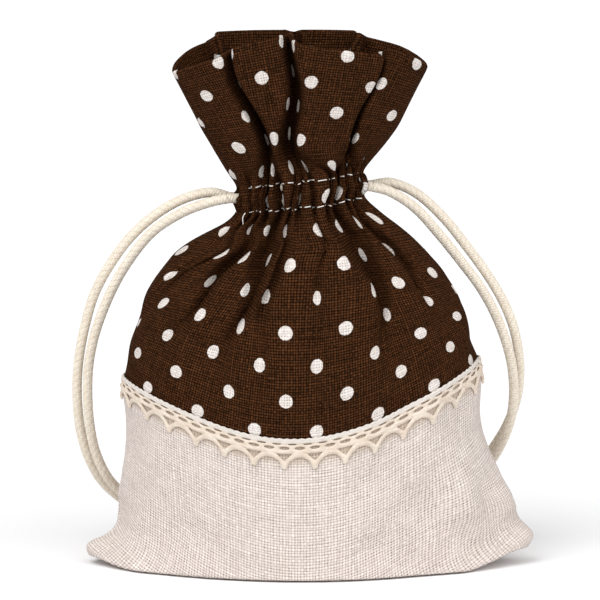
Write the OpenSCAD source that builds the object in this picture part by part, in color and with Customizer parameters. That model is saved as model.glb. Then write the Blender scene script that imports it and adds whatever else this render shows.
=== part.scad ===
// Drawstring gift sack: a linen pouch with a dotted top, a lace band and two drawcords.
// +X is the sack's right, +Y its back, +Z up, and the floor is z = 0. Millimetres.

/* [Body] */
// Height from the floor to the rim of the mouth
sack_h = 170; // [160:1:180]
// Distance between the two bottom corners
corner_span = 147; // [142:1:152]
// Width of the filled body
body_w = 115; // [110:1:120]
// Depth of the filled body, front to back
body_d = 74; // [68:1:78]
// Thickness of the cloth
cloth = 0.8; // [0.6:0.1:0.9]

/* [Neck and mouth] */
// Height of the middle of the drawstring channel
channel_z = 120; // [119:0.5:121]
// Distance between the channel's two rows of stitches
channel_h = 8; // [7.8:0.1:8.4]
// Width of the gathered neck
neck_w = 40; // [39.5:0.5:42]
// Depth of the gathered neck
neck_d = 30; // [30:0.5:32]
// Width of the flared mouth
mouth_w = 82; // [74:1:90]
// Depth of the flared mouth
mouth_d = 44; // [38:1:50]

/* [Trim] */
// Height of the join between the two cloths at the side seams
join_z = 61; // [58:1:64]
// How far the join dips in the middle of the front and the back
join_dip = 15.5; // [8:0.5:18]
// Depth of the lace band
lace_h = 11; // [8:1:13]
// Number of points along one lace band
lace_points = 14; // [10:1:18]
// Width of the seam allowance inside the sack
allowance = 7; // [5:1:8]

/* [Drawcords] */
// Diameter of the cotton cord
cord_d = 3.2; // [2.8:0.1:3.2]
// Distance between the two strands where they leave the neck
strand_gap = 5; // [4.8:0.1:5.2]
// How far a drawcord pulls out of the channel
pull = 6; // [4:0.5:6]

/* [Hidden] */

FRONT = -1;
BACK = 1;
LEFT = -1;
RIGHT = 1;

gap = 0.15;                             // clearance between pieces that lie on each other
seam_t = 1;                             // thickness of a seam allowance
edge_y = seam_t / 2 + gap;              // where a panel stops beside a seam
edge_angle = 2;                         // angle round the sack that a side seam takes
slot_angle = 22;                        // angle where the side is open for the cords
channel_lo = channel_z - channel_h / 2;
channel_hi = channel_z + channel_h / 2;
cord_r = cord_d / 2;
stitch_r = 0.2;

// Half the width and half the depth of the outside, from the floor up
half_widths = [
    [0, corner_span / 2 - 1.5], [3, corner_span / 2], [7, corner_span / 2 - 3],
    [12, body_w / 2 + 9], [20, body_w / 2 + 5], [30, body_w / 2 + 2], [45, body_w / 2],
    [60, body_w / 2 - 1], [75, body_w / 2 - 4], [88, body_w / 2 - 8.5], [97, body_w / 2 - 14],
    [104, body_w / 2 - 21.5], [109, body_w / 2 - 30], [113, neck_w / 2 + 2.5],
    [channel_lo, neck_w / 2], [channel_hi, neck_w / 2], [channel_hi + 22, (neck_w + mouth_w) / 4 + 1],
    [sack_h, mouth_w / 2]
];
half_depths = [
    [0, body_d / 2 - 10], [3, body_d / 2 - 6.5], [8, body_d / 2 - 3.5], [15, body_d / 2 - 1.5],
    [30, body_d / 2], [47, body_d / 2], [60, body_d / 2 - 1], [75, body_d / 2 - 3.5],
    [88, body_d / 2 - 8], [97, body_d / 2 - 11.5], [104, body_d / 2 - 15.5], [109, body_d / 2 - 18.5],
    [113, neck_d / 2 + 1.3], [channel_lo, neck_d / 2], [channel_hi, neck_d / 2],
    [channel_hi + 22, (neck_d + mouth_d) / 4 - 0.5], [sack_h, mouth_d / 2]
];
// Half the width and half the depth of the channel's inner wall
facing_w = neck_w / 2 - cloth - pull - 0.2;
facing_d = neck_d / 2 - cloth - cord_d - 0.4;

// How much of the dip the cloth has at a height: all at the join, none at the floor and the neck
function dip_share(z) = lookup(z, [[0, 0], [join_z, 1], [channel_lo - 2, 0]]);
// How pointed the plan is: a lens on the floor, an ellipse from the waist up
function plan_power(z) = lookup(z, [[0, 1.6], [12, 1.35], [35, 1]]);
// The angle round the sack where a panel starts: more at the channel, which is open at the side
function start_angle(z) =
    z > channel_lo - 0.5 && z < channel_hi + 0.5 ? slot_angle : edge_angle;

// A point of the sack at angle t (0 at the right, 180 at the left), in the row whose height at the
// side seam is z, a distance in from the outside. reach is 1 on the wall and under 1 on the base.
function sack_point(side, t, z, in, reach = 1) =
    let (
        drop = join_dip * dip_share(z) * pow(sin(t), 2),
        height = max(z - drop, 0),
        w = lookup(height, half_widths) - in,
        d = lookup(height, half_depths) - in
    )
    [w * cos(t), side * (edge_y + (d - edge_y) * reach * pow(sin(t), plan_power(height))),
     reach < 1 || z == 0 ? in : height];

// A closed sheet from two grids of points, the outer and the inner, with rows of equal length
module sheet(outer, inner) {
    rows = len(outer);
    cols = len(outer[0]);
    half = rows * cols;
    function at(r, c, layer) = layer * half + r * cols + c;
    points = [for (grid = [outer, inner]) for (row = grid) each row];
    faces = [
        for (r = [0 : rows - 2]) for (c = [0 : cols - 2]) each [
            [at(r, c, 0), at(r, c + 1, 0), at(r + 1, c + 1, 0)],
            [at(r, c, 0), at(r + 1, c + 1, 0), at(r + 1, c, 0)],
            [at(r, c, 1), at(r + 1, c + 1, 1), at(r, c + 1, 1)],
            [at(r, c, 1), at(r + 1, c, 1), at(r + 1, c + 1, 1)]
        ],
        for (c = [0 : cols - 2]) each [
            [at(0, c, 0), at(0, c, 1), at(0, c + 1, 1)],
            [at(0, c, 0), at(0, c + 1, 1), at(0, c + 1, 0)],
            [at(rows - 1, c, 0), at(rows - 1, c + 1, 1), at(rows - 1, c, 1)],
            [at(rows - 1, c, 0), at(rows - 1, c + 1, 0), at(rows - 1, c + 1, 1)]
        ],
        for (r = [0 : rows - 2]) each [
            [at(r, 0, 0), at(r + 1, 0, 1), at(r, 0, 1)],
            [at(r, 0, 0), at(r + 1, 0, 0), at(r + 1, 0, 1)],
            [at(r, cols - 1, 0), at(r, cols - 1, 1), at(r + 1, cols - 1, 1)],
            [at(r, cols - 1, 0), at(r + 1, cols - 1, 1), at(r + 1, cols - 1, 0)]
        ]
    ];
    polyhedron(points, faces);
}

// Turns a sheet made for the front round to the back, so that its faces still point out
module on_side(side) {
    if (side == FRONT) children();
    else rotate([0, 0, 180]) children();
}

// The angles of a row's points, from the right side seam round to the left
function angles(z, steps) =
    let (a = start_angle(z)) [for (i = [0 : steps]) a + (180 - 2 * a) * i / steps];

// ---- Cloth ----

panel_steps = 30;

module lower_panel(side) {
    base = [0, 0.5, 0.9];
    walls = [0, 3, 7, 12, 20, 30, 45, join_z - gap];
    function grid(in) = [
        for (reach = base) [for (t = angles(0, panel_steps)) sack_point(FRONT, t, 0, in, reach)],
        for (z = walls) [for (t = angles(0, panel_steps)) sack_point(FRONT, t, z, in)]
    ];
    color("linen") on_side(side) sheet(grid(0), grid(cloth));
}

module upper_panel(side) {
    rows = [
        join_z, 75, 88, 97, 104, 109, 113, channel_lo - 1, channel_lo, channel_z,
        channel_hi, channel_hi + 1, 133, 146, sack_h
    ];
    function grid(in) = [
        for (z = rows) [for (t = angles(z, panel_steps)) sack_point(FRONT, t, z, in)]
    ];
    color("saddlebrown") on_side(side) sheet(grid(0), grid(cloth));
}

// The hem turned in at the rim: it lines the mouth and makes the channel's inner wall
module hem_facing(side) {
    lie = cloth + gap;
    rows = [channel_lo - 3, channel_lo - 2, channel_lo, channel_hi, channel_hi + 3, 140, 155, sack_h];
    function inside(z) = z >= channel_lo && z <= channel_hi;
    function point(t, z, in) = inside(z)
        ? [(facing_w - in) * cos(t), -(edge_y + (facing_d - in - edge_y) * sin(t)), z]
        : sack_point(FRONT, t, z, lie + in);
    function grid(back) = [
        for (z = rows) [
            for (i = [0 : panel_steps])
            point(edge_angle + (180 - 2 * edge_angle) * i / panel_steps, z,
                  back ? (z < channel_hi + 5 ? 2 : 1) * cloth : 0)
        ]
    ];
    color("saddlebrown") on_side(side) sheet(grid(false), grid(true));
}

// ---- Seams ----

// The allowances of the two cloths, inside the join
module join_seam(side) {
    lie = cloth + 5 * gap;
    steps = 24;
    rows = [join_z - allowance, join_z, join_z + allowance];
    function grid(in) = [
        for (z = rows) [
            for (i = [0 : steps]) sack_point(FRONT, 9 + 162 * i / steps, z, in)
        ]
    ];
    color("saddlebrown") on_side(side) sheet(grid(lie), grid(lie + seam_t));
}

// The panels' side allowances: one strip below the channel and one above it
module side_seam(side) {
    low = [for (z = [7, 12, 20, 30, 45, 60, 75, 88, 97, 104, 109, 113]) z];
    high = [channel_hi + 2, 146, sack_h - 0.5];
    module strip(heights, wide) {
        outline = [
            for (z = heights) [lookup(z, half_widths), z],
            for (i = [len(heights) - 1 : -1 : 0])
            [lookup(heights[i], half_widths) - wide, heights[i]]
        ];
        rotate([90, 0, 0]) linear_extrude(seam_t, center = true) polygon(outline);
    }
    color("saddlebrown") rotate([0, 0, side == RIGHT ? 0 : 180]) {
        strip(low, allowance);
        strip(high, 3 * cloth);
    }
}

module bottom_seam() {
    long = corner_span - 14;
    color("linen") translate([-long / 2, -seam_t / 2, gap]) cube([long, seam_t, allowance - 1]);
}

// ---- Trim ----

module lace(side) {
    steps = 4 * lace_points;
    function low(i) = join_z - lace_h + (i % 4 == 0 ? 2.5 : i % 2 == 1 ? 1 : 0);
    function grid(in) = [
        for (share = [0, 0.4, 1]) [
            for (i = [0 : steps])
            sack_point(FRONT, 6 + 168 * i / steps, low(i) + (join_z + 0.5 - low(i)) * share, in)
        ]
    ];
    color("antiquewhite") on_side(side) sheet(grid(-gap - 0.8), grid(-gap));
}

// One stitch of thread between two points
module stitch(p, q) {
    d = q - p;
    translate(p) rotate([0, acos(d[2] / norm(d)), atan2(d[1], d[0])])
        cylinder(h = norm(d), r = stitch_r, $fn = 16);
}

// A row of stitches round one side of the sack, a distance out from the cloth
module stitch_row(side, z, first, out, count) {
    step = (180 - 2 * first) / count;
    for (i = [0 : count - 1])
        stitch(sack_point(side, first + i * step, z, -out),
               sack_point(side, first + (i + 0.7) * step, z, -out));
}

module lace_stitching(side) {
    color("white") for (down = [0.8, 3.2]) stitch_row(side, join_z - down, 8, 1.35, 44);
}

module channel_stitching(side) {
    color("white") for (z = [channel_lo - 0.5, channel_hi + 0.5]) stitch_row(side, z, 24, 0.45, 18);
}

// ---- Drawcords ----
// Each cord runs once round the channel, and both its ends leave the neck on its own side.

left_z = channel_z - 1.9;               // the left cord's lane in the channel
right_z = channel_z + 1.9;              // the right cord's lane
ring_w = neck_w / 2 - cloth - cord_r - 0.2;
ring_d = neck_d / 2 - cloth - cord_r - 0.1;
exit_x = neck_w / 2 + 2.6;              // where the free strands start
ends_x = exit_x - cord_r - 0.1;         // where the ends in the channel stop
knot_r = 4.2;
tail_l = 11;

function lane(side) = side == LEFT ? left_z : right_z;

// A tube of 8 sides swept along points
module tube(path, r) {
    sides = 8;
    last = len(path) - 1;
    function along(i) =
        let (d = path[min(i + 1, last)] - path[max(i - 1, 0)]) d / norm(d);
    function ring(i) =
        let (f = along(i), across = cross(f, [0, 1, 0]), u = across / norm(across), v = cross(f, u))
        [for (k = [0 : sides - 1]) path[i] + r * (cos(45 * k) * u + sin(45 * k) * v)];
    points = [for (i = [0 : last]) each ring(i)];
    faces = [
        for (i = [0 : last - 1]) for (k = [0 : sides - 1])
        let (a = sides * i + k, b = sides * i + (k + 1) % sides) each [
            [a, a + sides, b + sides], [a, b + sides, b]
        ],
        [for (k = [0 : sides - 1]) k],
        [for (k = [sides - 1 : -1 : 0]) sides * last + k]
    ];
    polyhedron(points, faces);
}

// The part of a cord that lies round the channel, from one strand's place to the other's
module cord_in_channel(side) {
    open = 30;
    steps = 36;
    sides = 8;
    function ring(a) =
        let (out = [ring_d * cos(a), ring_w * sin(a), 0], u = out / norm(out))
        [for (k = [0 : sides - 1])
            [ring_w * cos(a), ring_d * sin(a), 0] + cord_r * (cos(45 * k) * u + [0, 0, sin(45 * k)])];
    points = [for (i = [0 : steps]) each ring(open + (360 - 2 * open) * i / steps)];
    faces = [
        for (i = [0 : steps - 1]) for (k = [0 : sides - 1])
        let (a = sides * i + k, b = sides * i + (k + 1) % sides) each [
            [a, a + sides, b + sides], [a, b + sides, b]
        ],
        [for (k = [0 : sides - 1]) k],
        [for (k = [sides - 1 : -1 : 0]) sides * steps + k]
    ];
    color("antiquewhite") translate([0, 0, lane(side)]) rotate([0, 0, side == RIGHT ? 0 : 180])
        polyhedron(points, faces);
}

// The two ends of a cord just inside the neck, which come out as it is pulled
module cord_ends(side) {
    long = pull + 1.2;
    color("antiquewhite") for (y = [-strand_gap / 2, strand_gap / 2])
        translate([side * (ends_x - long), y, lane(side)])
            rotate([0, side * 90, 0]) cylinder(h = long, r = cord_r, $fn = 32);
}

// The strands' routes, from the neck out over the shoulder and down behind the sack to the knot
left_front_route = [
    [-22.6, -2.5, 118.1], [-28, -2, 117], [-35, 0, 114.5], [-41.5, 2, 111], [-47.5, 4, 106.5],
    [-53, 6, 100], [-58.5, 8, 91.5], [-63, 10, 82], [-66.5, 12, 72], [-68.5, 14, 62],
    [-69, 16, 52], [-68.5, 18, 42.5], [-67, 21, 33.5], [-64, 24, 25.5], [-60, 28, 19.5],
    [-54.5, 33, 14.5], [-48.5, 38, 10], [-43.5, 42, 7.5], [-40.5, 44, 6.5]
];
left_back_route = [
    [-22.6, 2.5, 118.1], [-29, 3, 119.5], [-38, 4.5, 117], [-47, 6.5, 111.5], [-55, 8.5, 104],
    [-61.5, 10.5, 95], [-66.5, 13, 85.5], [-69.5, 15, 75.5], [-71.5, 17, 66], [-72.5, 19, 57],
    [-72.5, 21, 47.5], [-71.5, 23, 38.5], [-69, 26, 29.5], [-65, 30, 21.5], [-59, 35, 15],
    [-52, 40.5, 10], [-46, 45, 5.5], [-41.5, 46.5, 3.5]
];
right_front_route = [
    [22.6, -2.5, 121.9], [29, -1.5, 120], [37, 1, 114.5], [45, 3.5, 105.5], [52.5, 6, 96],
    [58, 8, 88.5], [62.5, 10, 80.5], [66, 12, 72], [68.5, 14.5, 63], [69.5, 17, 54],
    [69, 19.5, 45.5], [67, 22.5, 38], [64, 26, 31], [60, 30, 25], [55.5, 34, 19],
    [50.5, 38, 13], [45.5, 41.5, 8.5], [41.5, 44, 6.5]
];
right_back_route = [
    [22.6, 2.5, 121.9], [29.5, 3.5, 122.5], [38, 5.5, 118.5], [46.5, 7.5, 110.5], [54, 9.5, 101],
    [60.5, 11.5, 92], [65.5, 13.5, 83.5], [69, 15.5, 75], [71, 18, 66], [71.5, 20.5, 57.5],
    [70.5, 23.5, 49], [68, 27, 41], [64.5, 31, 34], [60.5, 35, 27.5], [56, 39, 21],
    [51, 43, 14.5], [46.5, 46, 7.5], [42.5, 46.5, 3.5]
];
left_knot_at = [-37, 45.5, knot_r];
right_knot_at = [38, 45.5, knot_r];

module strand(route) {
    color("antiquewhite") tube(route, cord_r);
}

// The knot that joins a cord's two strands, with their two short tails on the floor
module knot(at, side) {
    color("antiquewhite") translate(at) {
        sphere(knot_r, $fn = 48);
        for (turn = [-26, 26])
            rotate([0, 0, turn]) translate([-side * (knot_r + gap), 0, cord_r - knot_r])
                rotate([0, -side * 90, 0]) cylinder(h = tail_l, r = cord_r, $fn = 32);
    }
}

lower_panel(FRONT);  // front_lower_panel
lower_panel(BACK);  // back_lower_panel
upper_panel(FRONT);  // front_upper_panel
upper_panel(BACK);  // back_upper_panel
hem_facing(FRONT);  // front_hem_facing
hem_facing(BACK);  // back_hem_facing
join_seam(FRONT);  // front_join_seam
join_seam(BACK);  // back_join_seam
side_seam(LEFT);  // left_side_seam
side_seam(RIGHT);  // right_side_seam
bottom_seam();
lace(FRONT);  // front_lace
lace(BACK);  // back_lace
lace_stitching(FRONT);  // front_lace_stitching
lace_stitching(BACK);  // back_lace_stitching
channel_stitching(FRONT);  // front_channel_stitching
channel_stitching(BACK);  // back_channel_stitching
cord_in_channel(LEFT);  // left_cord_in_channel
cord_in_channel(RIGHT);  // right_cord_in_channel
cord_ends(LEFT);  // left_cord_ends
strand(left_front_route);  // left_front_strand
strand(left_back_route);  // left_back_strand
knot(left_knot_at, LEFT);  // left_knot
cord_ends(RIGHT);  // right_cord_ends
strand(right_front_route);  // right_front_strand
strand(right_back_route);  // right_back_strand
knot(right_knot_at, RIGHT);  // right_knot
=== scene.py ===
# %% [markdown]
# # A drawstring gift sack
# The sack is a linen pouch, cut 150 mm wide, with a dotted top and a plain foot. It stands on
# a table, filled and drawn shut. Numbers here are millimetres, as on a maker's pattern, and
# each mesh is brought to metres when it is made.

# %% Load the frame
import math

import bpy
import numpy as np
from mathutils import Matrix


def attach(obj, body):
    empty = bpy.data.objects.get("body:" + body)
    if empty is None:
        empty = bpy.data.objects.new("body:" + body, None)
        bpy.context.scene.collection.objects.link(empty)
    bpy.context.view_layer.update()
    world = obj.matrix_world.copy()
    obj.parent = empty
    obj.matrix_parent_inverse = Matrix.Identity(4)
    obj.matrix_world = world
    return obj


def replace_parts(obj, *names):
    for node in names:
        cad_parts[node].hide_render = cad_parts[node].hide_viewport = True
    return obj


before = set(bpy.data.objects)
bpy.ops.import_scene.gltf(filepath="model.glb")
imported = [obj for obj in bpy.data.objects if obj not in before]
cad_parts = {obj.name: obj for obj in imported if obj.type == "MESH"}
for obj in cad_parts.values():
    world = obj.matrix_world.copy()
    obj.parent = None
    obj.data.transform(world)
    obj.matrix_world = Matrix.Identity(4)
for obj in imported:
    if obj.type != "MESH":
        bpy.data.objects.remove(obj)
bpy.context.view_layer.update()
MM = 0.001

# %% [markdown]
# ## The camera
# The sack is seen from 1.3 m in front and from a little above, through a long lens, so its
# sides stay nearly upright. The picture is 192 mm wide where the sack stands.

# %% Camera
EYE = (0.0, -1.3, 0.24)
AIM = (0.0, 0.0, 0.0852)
VIEW_WIDTH = 0.192
SENSOR = 36.0


def place_in_scene(name, data, place=(0, 0, 0), aim=None):
    """A new object at place. A camera or a lamp is turned about x and then about z, until it
    looks at aim."""
    made = bpy.data.objects.new(name, data)
    made.location = place
    if aim:
        x, y, z = (a - p for a, p in zip(aim, place))
        made.rotation_euler = (math.atan2(math.hypot(x, y), -z), 0.0, -math.atan2(x, y))
    bpy.context.scene.collection.objects.link(made)
    return made


def add_camera(eye, aim, width):
    """A camera at eye that looks at aim, where its picture is width metres wide."""
    data = bpy.data.cameras.new("camera")
    data.sensor_width = SENSOR
    data.lens = SENSOR * math.dist(eye, aim) / width
    bpy.context.scene.camera = place_in_scene("camera", data, eye, aim)
    return bpy.context.scene.camera


camera = add_camera(EYE, AIM, VIEW_WIDTH)
print("lens, mm:", round(camera.data.lens, 1))

# %% [markdown]
# ## Meshes from arrays
# A surface here is a grid of points worked out with numpy. Its faces join neighbours in the
# grid, and its UV map holds the cloth's own millimetres, so a weave or a print keeps its size
# in every fold.

# %% Grid meshes


def grid_faces(rows, cols, closed=False):
    """Four-sided faces over a rows x cols grid of points, numbered row by row.
    A closed grid joins the last column to the first. Faces point out of the sack when columns
    go round it from the right by way of the front, and rows go up."""
    last = cols if closed else cols - 1
    r, c = np.meshgrid(np.arange(rows - 1), np.arange(last), indexing="ij")
    a = r * cols + c
    b = r * cols + (c + 1) % cols
    return np.stack([a, a + cols, b + cols, b], axis=-1).reshape(-1, 4)


def mesh_from(name, points, faces, uv=None):
    """A smooth-shaded object from points (n x 3, mm) and lists of points round each face. uv
    gives every face's corners in turn their cloth coordinates, in mm."""
    mesh = bpy.data.meshes.new(name)
    mesh.from_pydata((points * MM).tolist(), [], faces)
    if uv is not None:
        layer = mesh.uv_layers.new(name="cloth")
        layer.data.foreach_set("uv", np.asarray(uv, np.float32).ravel())
    mesh.polygons.foreach_set("use_smooth", np.ones(len(mesh.polygons), bool))
    mesh.update()
    return place_in_scene(name, mesh)


print("faces of a grid of 3 x 3 points:", len(grid_faces(3, 3)), "open,",
      len(grid_faces(3, 3, closed=True)), "closed")


# %% [markdown]
# ## The drawcords
# Each drawcord runs once round the channel, and both its ends leave the neck on one side.
# They arch over the shoulder and go down behind the sack, where a knot joins them. A cord
# isn't a smooth pipe: its fibres wind round it, so its tube has shallow ridges that turn
# along it, and its UV map carries the same turn for the fibres in the material.

# %% Cord routes, as they lie
CORD_R = 1.6
ROUTES = {
    "left_front_strand": [
        (-22.6, -2.5, 118.1), (-28, -2, 117), (-35, 0, 114.5), (-41.5, 2, 111), (-47.5, 4, 106.5),
        (-53, 6, 100), (-58.5, 8, 91.5), (-63, 10, 82), (-66.5, 12, 72), (-68.5, 14, 62),
        (-69, 16, 52), (-68.5, 18, 42.5), (-67, 21, 33.5), (-64, 24, 25.5), (-60, 28, 19.5),
        (-54.5, 33, 14.5), (-48.5, 38, 10), (-43.5, 42, 7.5), (-40.5, 44, 6.5)],
    "left_back_strand": [
        (-22.6, 2.5, 118.1), (-29, 3, 119.5), (-38, 4.5, 117), (-47, 6.5, 111.5), (-55, 8.5, 104),
        (-61.5, 10.5, 95), (-66.5, 13, 85.5), (-69.5, 15, 75.5), (-71.5, 17, 66), (-72.5, 19, 57),
        (-72.5, 21, 47.5), (-71.5, 23, 38.5), (-69, 26, 29.5), (-65, 30, 21.5), (-59, 35, 15),
        (-52, 40.5, 10), (-46, 45, 5.5), (-41.5, 46.5, 3.5)],
    "right_front_strand": [
        (22.6, -2.5, 121.9), (29, -1.5, 120), (37, 1, 114.5), (45, 3.5, 105.5), (52.5, 6, 96),
        (58, 8, 88.5), (62.5, 10, 80.5), (66, 12, 72), (68.5, 14.5, 63), (69.5, 17, 54),
        (69, 19.5, 45.5), (67, 22.5, 38), (64, 26, 31), (60, 30, 25), (55.5, 34, 19),
        (50.5, 38, 13), (45.5, 41.5, 8.5), (41.5, 44, 6.5)],
    "right_back_strand": [
        (22.6, 2.5, 121.9), (29.5, 3.5, 122.5), (38, 5.5, 118.5), (46.5, 7.5, 110.5),
        (54, 9.5, 101), (60.5, 11.5, 92), (65.5, 13.5, 83.5), (69, 15.5, 75), (71, 18, 66),
        (71.5, 20.5, 57.5),
        (70.5, 23.5, 49), (68, 27, 41), (64.5, 31, 34), (60.5, 35, 27.5), (56, 39, 21),
        (51, 43, 14.5), (46.5, 46, 7.5), (42.5, 46.5, 3.5)],
}


def smooth_path(points, step=0.8):
    """A curve through the points, resampled every step mm. Each stretch between two points is
    the Catmull-Rom cubic, whose tangent at a point runs between that point's neighbours."""
    p = np.asarray(points, float)
    ends = np.vstack([2 * p[0] - p[1], p, 2 * p[-1] - p[-2]])
    s = np.linspace(0, len(p) - 1, 24 * len(p))
    i = np.minimum(s.astype(int), len(p) - 2)
    t = (s - i)[:, None]
    a, b, c, d = ends[i], ends[i + 1], ends[i + 2], ends[i + 3]
    curve = 0.5 * (2 * b + (c - a) * t + (2 * a - 5 * b + 4 * c - d) * t**2
                   + (3 * b - a - 3 * c + d) * t**3)
    return resample(curve, step)


def distances(curve):
    """How far along a curve each of its points is: the lengths of the stretches, added up."""
    return np.concatenate([[0], np.cumsum(np.linalg.norm(np.diff(curve, axis=0), axis=1))])


def resample(curve, step):
    """The same curve with its points a step apart along it."""
    along = distances(curve)
    even = np.linspace(0, along[-1], max(int(round(along[-1] / step)), 2) + 1)
    return np.stack([np.interp(even, along, curve[:, k]) for k in range(3)], axis=1)


paths = {name: smooth_path(points) for name, points in ROUTES.items()}


# %% [markdown]
# ## The cloth's shape
# The pouch was cut flat, 150 mm wide, and sewn into a bag 300 mm round. Round the drawn neck
# the same 300 mm has to fit into a ring of 110 mm, so it stands in deep pleats, and at the rim
# the small pleats join into a few broad ones. A cloth simulation was tried first, but it took
# minutes and the bag fell in on itself, so this shape is a formula. Each level of cloth is an
# oval, and pleats carry the spare cloth inwards. Their depth starts from how much of the 300 mm
# the oval leaves over. Two things then correct it: the shoulder gets more cloth than the cut
# has, and no pleat goes deeper than a share of the oval's depth.

# %% Cloth measures
ROUND = 300.0          # round the bag
DROP = 150.0           # from the bottom seam up to the channel
CHANNEL = 8.0          # between the channel's two rows of stitches
RUFFLE = 47.0          # from the channel up to the rim
UNDER = 30.0           # cloth under the sack, from the bottom seam to its front edge
JOIN_V = 79.0          # from the bottom seam up to the join of the two cloths
NECK_Z = 116.0
RIM_Z = 171.0
COLS = 400
STEP_V = 1.0

# Height, half the width and half the depth of the sack, with its neck drawn shut
OUTLINE = np.array([
    (0, 70.5, 25), (3, 72.5, 29.5), (7, 67, 32.5), (12, 60.5, 34.3), (18, 57.5, 35.5),
    (28, 55.8, 36.5), (42, 56, 37), (58, 57, 36), (72, 54.5, 34), (86, 50, 30), (95, 45.5, 26.5),
    (102, 39.5, 23), (107, 33, 20), (111, 26, 17.5), (116, 20, 15), (124, 20, 15),
    (133, 25, 16), (146, 31.5, 18), (RIM_Z, 41, 21)])


def rounded(table, column, span=5):
    """A table's column as a smooth curve over height: read every mm, then averaged over span
    mm. span is odd."""
    z = np.arange(-span, RIM_Z + span + 1)
    values = np.interp(z, table[:, 0], table[:, column])
    mean = np.convolve(values, np.ones(span) / span, mode="valid")
    return lambda height: np.interp(height, z[span // 2:-(span // 2)], mean)


half_width, half_depth = rounded(OUTLINE, 1), rounded(OUTLINE, 2)


def smoothstep(x, low, high):
    """0 below low, 1 above high, and the cubic 3t^2 - 2t^3 between them."""
    t = np.clip((x - low) / (high - low), 0, 1)
    return t * t * (3 - 2 * t)


def around(share, width, depth):
    """Points of a row of ovals, at shares 0 to 1 of the way round from the right side, front
    first. share is rows x columns, and an oval's half width and half depth are one number a
    row. Distance round the oval is measured, so equal shares are equal lengths."""
    angle = np.linspace(0, 2 * np.pi, 721)

    def oval(a, w, d):
        return np.stack([w * np.cos(a), -d * np.sin(a)], -1)

    rows = []
    for s, w, d in zip(share, width, depth):
        along = distances(oval(angle, w, d))
        rows.append(oval(np.interp(s * along[-1], along, angle), w, d))
    return np.array(rows)


print("neck, mm round:", round(math.pi * (half_width(NECK_Z) + half_depth(NECK_Z)), 1))

# %% [markdown]
# Three sets of pleats share the cloth. The neck has many small ones. Above the channel they
# open into broad panels with a few deep gaps, and below it they run together into soft folds
# that die out over the filled body.

# %% Pleats
# Where the valleys are round the bag, and how deep each is beside the others
NECK_VALLEYS = np.array([
    9, 20, 30, 43, 56, 68, 78, 88, 103, 118, 129, 141,
    158, 171, 183, 197, 210, 224, 237, 249, 262, 276, 290.0])
NECK_DEPTHS = np.array([0.9, 1.1, 1, 1.5, 0.9, 0.8, 1, 1, 1.6, 1.4, 1, 0.9,
                        1, 1.2, 1, 0.9, 1.2, 1, 0.8, 1.1, 1, 1.2, 1])
RIM_VALLEYS = np.array([30, 78, 118, 183, 224, 262.0])
RIM_DEPTHS = np.array([0.9, 1.4, 1.15, 1.0, 1.1, 0.9])
RIM_GAPS = np.array([0.09, 0.17, 0.13, 0.12, 0.17, 0.13])
SHOULDER_VALLEYS = np.array([20, 43, 68, 88, 103, 126, 143, 172, 196, 217, 241, 262, 283.0])
SHOULDER_DEPTHS = np.array([1.1, 2.3, 0.5, 1.1, 2.2, 1.6, 0.6, 0.9, 1.1, 1.0, 1.2, 0.9, 0.8])
DRIFT = 1.3            # how far a valley wanders to either side as it goes up
ADDED = 34.0           # cloth added round the shoulder, beyond the cut


def spare_cloth(weights, width, depth, gap_share, added):
    """Half the cloth in each valley of each row, in mm: what the oval leaves over, shared out.
    added is how much more than the cut each row is given, so that its pleats look as deep as
    they should. Real cloth doesn't have it."""
    perimeter = 2 * np.pi * np.sqrt((width**2 + depth**2) / 2)
    spare = np.maximum(ROUND + added - perimeter, 0) / 2
    return spare[:, None] * (weights / (weights * (1 - gap_share)).sum())[None, :]


def pleated(valleys, weights, width, depth, gap_share, deepest, straight, added=0.0):
    """Rows of pleated cloth, rows x columns x 2. A valley's cloth goes inwards and comes back,
    and takes up only gap_share of its own length round the oval, which is one number or one
    for each valley. deepest is how much of the oval's half depth a valley may reach, and cloth
    past that is left out. straight turns the valleys from the oval's middle towards straight
    front to back."""
    halves = spare_cloth(weights, width, depth, gap_share, added)[:, None, :]
    wander = DRIFT * np.sin(v[:, None] / 5.5 + 1.9 * np.arange(len(valleys)))
    away = u[None, :, None] - (valleys + wander)[:, None, :]
    away = np.abs((away + ROUND / 2) % ROUND - ROUND / 2)
    inside = smoothstep(halves - away, -1.0, 1.0)
    density = 1 - ((1 - gap_share) * inside).max(axis=2)
    share = np.cumsum(density, axis=1)
    share = (share - density / 2) / share[:, -1:]
    line = around(share, width, depth)
    most = deepest * depth[:, None]
    inward = most * np.tanh(np.maximum(halves - away, 0).max(axis=2) / most)
    ahead = np.roll(line, -3, axis=1) - np.roll(line, 3, axis=1)
    normal = np.stack([ahead[..., 1], -ahead[..., 0]], -1)
    normal /= np.linalg.norm(normal, axis=-1, keepdims=True)
    normal *= -np.sign((normal * line).sum(-1, keepdims=True))
    across = 1 - np.clip(line[..., 0] / width[:, None], -1, 1)**2
    normal[..., 1] -= straight * np.sign(line[..., 1]) * across
    normal /= np.linalg.norm(normal, axis=-1, keepdims=True)
    return line + normal * inward[..., None]


def soften(rows, sigma):
    """Rounds the creases of closed rows: an average over sigma mm of cloth, taken on each row's
    Fourier series. sigma is one number a row."""
    wave = np.fft.rfftfreq(rows.shape[1], ROUND / rows.shape[1])
    keep = np.exp(-2 * (np.pi * wave[None, :, None] * np.asarray(sigma)[:, None, None])**2)
    return np.fft.irfft(np.fft.rfft(rows, axis=1) * keep, rows.shape[1], axis=1)


def lean(x, z):
    """The sack leans: its channel and its join are higher at the right than at the left."""
    channel = 2.6 * np.clip(x / 20, -1.2, 1.2) * np.exp(-((z - 120) / 14)**2)
    return channel + 0.05 * x * np.exp(-((z - 62) / 26)**2)
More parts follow.
